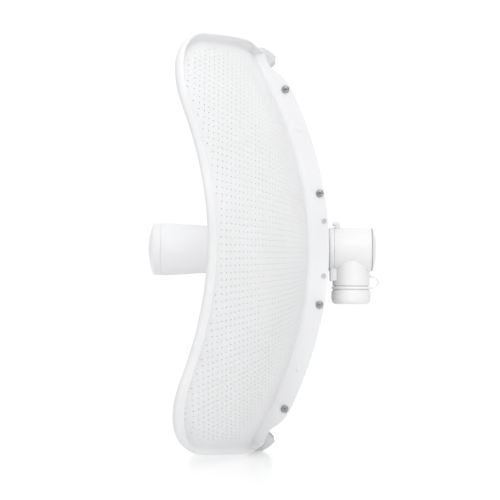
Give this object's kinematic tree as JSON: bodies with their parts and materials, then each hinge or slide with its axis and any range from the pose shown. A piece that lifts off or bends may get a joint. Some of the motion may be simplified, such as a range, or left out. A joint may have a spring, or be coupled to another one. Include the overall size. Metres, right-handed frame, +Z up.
{
  "type": "outdoor wireless bridge",
  "caption": "Wide dish antenna in perforated white sheet halves on a centre channel, with a feed tube in front and a tubular radio behind with a capped cable port.",
  "frame": {"origin": "vertex of the dish's reflecting face, on the feed axis, where the pole bracket holds the centre channel", "axes": "-Y along the beam, from the dish towards the feed's front cap; +Z up; +X towards the object's own left wing"},
  "size_m": [0.504, 0.2303, 0.401],
  "materials": {
    "reflector_white": "satin powder coat",
    "channel_grey": "satin",
    "zinc": "zinc plated",
    "shell_white": "fine satin",
    "tether_white": "soft",
    "seal_rubber": "matte",
    "circuit_board": "satin",
    "copper": "bright copper",
    "black_plastic": "matte",
    "button_grey": "matte"
  },
  "bodies": {
    "antenna": {"reflector_wing_left": "reflector_white", "reflector_wing_right": "reflector_white", "spine_channel": "channel_grey", "flange_screw_left_1": "zinc", "flange_screw_left_2": "zinc", "flange_screw_left_3": "zinc", "flange_screw_left_4": "zinc", "flange_screw_right_1": "zinc", "flange_screw_right_2": "zinc", "flange_screw_right_3": "zinc", "flange_screw_right_4": "zinc", "flange_nut_left_1": "zinc", "flange_nut_left_2": "zinc", "flange_nut_left_3": "zinc", "flange_nut_left_4": "zinc", "flange_nut_right_1": "zinc", "flange_nut_right_2": "zinc", "flange_nut_right_3": "zinc", "flange_nut_right_4": "zinc", "locating_pin_left_upper": "zinc", "locating_pin_left_lower": "zinc", "locating_pin_right_upper": "zinc", "locating_pin_right_lower": "zinc", "feed_tube": "shell_white", "feed_front_cap": "shell_white", "front_cap_o_ring": "seal_rubber", "subreflector_disc": "copper", "feed_radiator": "copper", "antenna_board": "circuit_board", "tube_clamp_ring": "zinc", "rear_housing": "shell_white", "rear_end_cap": "shell_white", "end_cap_gasket": "seal_rubber", "mount_collar": "shell_white", "radio_board": "circuit_board", "shield_can": "zinc", "ethernet_jack": "zinc", "port_bezel": "black_plastic", "latch_spring": "zinc", "cap_tether": "tether_white"},
    "latch": {"latch_button": "shell_white"},
    "reset": {"reset_button": "button_grey"},
    "tether": {"tether_ring": "tether_white"},
    "cap": {"port_cap": "shell_white", "port_seal": "seal_rubber"}
  },
  "joints": [
    {"name": "latch_press", "type": "slide", "parent": "antenna", "child": "latch", "axis": [0, 0, -1], "range_m": [0, 0.0015], "stiffness_N_per_m": 1500, "springref_m": -0.0006, "deforming": ["latch_spring"]},
    {"name": "reset_press", "type": "slide", "parent": "antenna", "child": "reset", "axis": [0, 0, 1], "range_m": [0, 0.0008], "stiffness_N_per_m": 900, "springref_m": -0.0006},
    {"name": "cap_slide", "type": "slide", "parent": "antenna", "child": "tether", "axis": [0, 0, -1], "range_m": [0, 0.006], "deforming": ["cap_tether"]},
    {"name": "cap_turn", "type": "hinge", "parent": "tether", "child": "cap", "pos_m": [0, 0.0436, -0.045], "axis": [0, 0, -1], "range_deg": [0, 720]}
  ],
  "couplings": [
    {"joint": "cap_slide", "follows": "cap_turn", "m_per_rad": 0.00047746}
  ]
}
